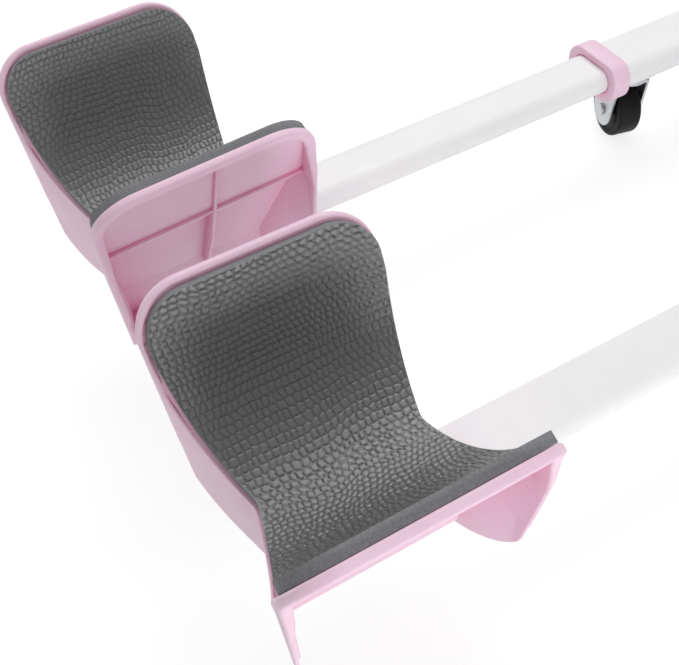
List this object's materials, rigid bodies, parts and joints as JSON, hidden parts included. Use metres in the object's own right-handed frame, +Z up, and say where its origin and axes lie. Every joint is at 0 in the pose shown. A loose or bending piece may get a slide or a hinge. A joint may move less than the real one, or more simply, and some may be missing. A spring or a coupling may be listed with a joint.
{
  "type": "leg stretching machine",
  "caption": "Seated leg stretcher whose coupled arms swing apart by a handwheel, with sliding padded leg cradles and swivel casters under the arms",
  "frame": {"origin": "on the floor, at the middle of the face of the centre foot, under the middle of the two arm pivots", "axes": "+Z up, -Y along the arms towards the leg cradles, +X to the side of the nodes named right; the arms at rest are at x = -148.5 mm (left) and x = +148.5 mm (right)"},
  "size_m": [0.508, 1.6001, 0.7344],
  "materials": {
    "white_powder_coat": "satin",
    "pink_plastic": "satin",
    "grey_foam": "matte",
    "zinc_steel": "satin",
    "black_rubber": "matte",
    "black_plastic": "matte",
    "gear_steel": "satin",
    "bronze": "satin",
    "tyre_rubber": "matte"
  },
  "bodies": {
    "base": {"foot_pads": "black_rubber", "front_stabiliser": "white_powder_coat", "rear_stabiliser": "white_powder_coat", "end_caps": "pink_plastic", "centre_beam": "white_powder_coat", "lower_plate": "white_powder_coat", "upper_plate": "white_powder_coat", "plate_spacers": "zinc_steel", "plate_bolts": "zinc_steel", "plate_nuts": "zinc_steel", "gear_cover": "pink_plastic", "column_tube": "white_powder_coat", "column_bush": "black_plastic", "seat_frame": "white_powder_coat", "seat_shell": "pink_plastic", "seat_pad": "grey_foam", "back_frame": "white_powder_coat", "back_shell": "pink_plastic", "back_pad": "grey_foam", "hand_rails": "white_powder_coat", "hand_grips": "black_rubber"},
    "idler_left": {"idler_gear_left": "gear_steel", "drive_gear": "gear_steel"},
    "idler_right": {"idler_gear_right": "gear_steel"},
    "drive": {"drive_shaft": "zinc_steel", "handwheel": "white_powder_coat", "wheel_grip": "black_rubber"},
    "arm_left": {"outer_tube_left": "white_powder_coat", "guide_collar_left": "pink_plastic", "arm_bushes_left": "bronze", "arm_gear_left": "gear_steel", "caster_plate_left": "zinc_steel"},
    "slide_left": {"inner_tube_left": "white_powder_coat", "tube_glide_left": "black_plastic", "cradle_bracket_left": "white_powder_coat", "cradle_shell_left": "pink_plastic", "cradle_pad_left": "grey_foam", "cradle_screws_left": "zinc_steel"},
    "knob_left": {"clamp_knob_left": "black_plastic"},
    "caster_left": {"caster_fork_left": "zinc_steel", "caster_axle_left": "zinc_steel"},
    "wheel_left": {"caster_hub_left": "black_plastic", "caster_tyre_left": "tyre_rubber"},
    "arm_right": {"outer_tube_right": "white_powder_coat", "guide_collar_right": "pink_plastic", "arm_bushes_right": "bronze", "arm_gear_right": "gear_steel", "caster_plate_right": "zinc_steel"},
    "slide_right": {"inner_tube_right": "white_powder_coat", "tube_glide_right": "black_plastic", "cradle_bracket_right": "white_powder_coat", "cradle_shell_right": "pink_plastic", "cradle_pad_right": "grey_foam", "cradle_screws_right": "zinc_steel"},
    "knob_right": {"clamp_knob_right": "black_plastic"},
    "caster_right": {"caster_fork_right": "zinc_steel", "caster_axle_right": "zinc_steel"},
    "wheel_right": {"caster_hub_right": "black_plastic", "caster_tyre_right": "tyre_rubber"}
  },
  "joints": [
    {"name": "arm_left_swing", "type": "hinge", "parent": "base", "child": "arm_left", "pos_m": [-0.1485, 0, 0.0945], "axis": [0, 0, -1], "range_deg": [0, 85]},
    {"name": "arm_left_slide", "type": "slide", "parent": "arm_left", "child": "slide_left", "axis": [0, 1, 0], "range_m": [-0.03, 0.22]},
    {"name": "knob_left_turn", "type": "hinge", "parent": "arm_left", "child": "knob_left", "pos_m": [-0.1485, -0.31, 0.0585], "axis": [0, 0, 1], "range_deg": [0, 180]},
    {"name": "caster_left_swivel", "type": "hinge", "parent": "arm_left", "child": "caster_left", "pos_m": [-0.1485, -0.4063, 0.0745], "axis": [0, 0, 1], "continuous": true},
    {"name": "wheel_left_roll", "type": "hinge", "parent": "caster_left", "child": "wheel_left", "pos_m": [-0.15628, -0.40443, 0.03], "axis": [0.2334, 0.9724, 0], "continuous": true},
    {"name": "arm_right_swing", "type": "hinge", "parent": "base", "child": "arm_right", "pos_m": [0.1485, 0, 0.0945], "axis": [0, 0, 1], "range_deg": [0, 85]},
    {"name": "arm_right_slide", "type": "slide", "parent": "arm_right", "child": "slide_right", "axis": [0, 1, 0], "range_m": [-0.03, 0.22]},
    {"name": "knob_right_turn", "type": "hinge", "parent": "arm_right", "child": "knob_right", "pos_m": [0.1485, -0.31, 0.0585], "axis": [0, 0, 1], "range_deg": [0, 180]},
    {"name": "caster_right_swivel", "type": "hinge", "parent": "arm_right", "child": "caster_right", "pos_m": [0.1485, -0.4063, 0.0745], "axis": [0, 0, 1], "continuous": true},
    {"name": "wheel_right_roll", "type": "hinge", "parent": "caster_right", "child": "wheel_right", "pos_m": [0.15628, -0.40443, 0.03], "axis": [-0.2334, 0.9724, 0], "continuous": true},
    {"name": "idler_left_turn", "type": "hinge", "parent": "base", "child": "idler_left", "pos_m": [-0.0495, 0, 0.1165], "axis": [0, 0, 1], "range_deg": [0, 85]},
    {"name": "idler_right_turn", "type": "hinge", "parent": "base", "child": "idler_right", "pos_m": [0.0495, 0, 0.1165], "axis": [0, 0, -1], "range_deg": [0, 85]},
    {"name": "handwheel_turn", "type": "hinge", "parent": "base", "child": "drive", "pos_m": [0, -0.06787, 0.575], "axis": [0, 0, -1], "range_deg": [0, 312]}
  ],
  "couplings": [
    {"joint": "arm_right_swing", "follows": "arm_left_swing", "ratio": 1},
    {"joint": "idler_left_turn", "follows": "arm_left_swing", "ratio": 1},
    {"joint": "idler_right_turn", "follows": "arm_left_swing", "ratio": 1},
    {"joint": "handwheel_turn", "follows": "arm_left_swing", "ratio": 3.6667}
  ]
}
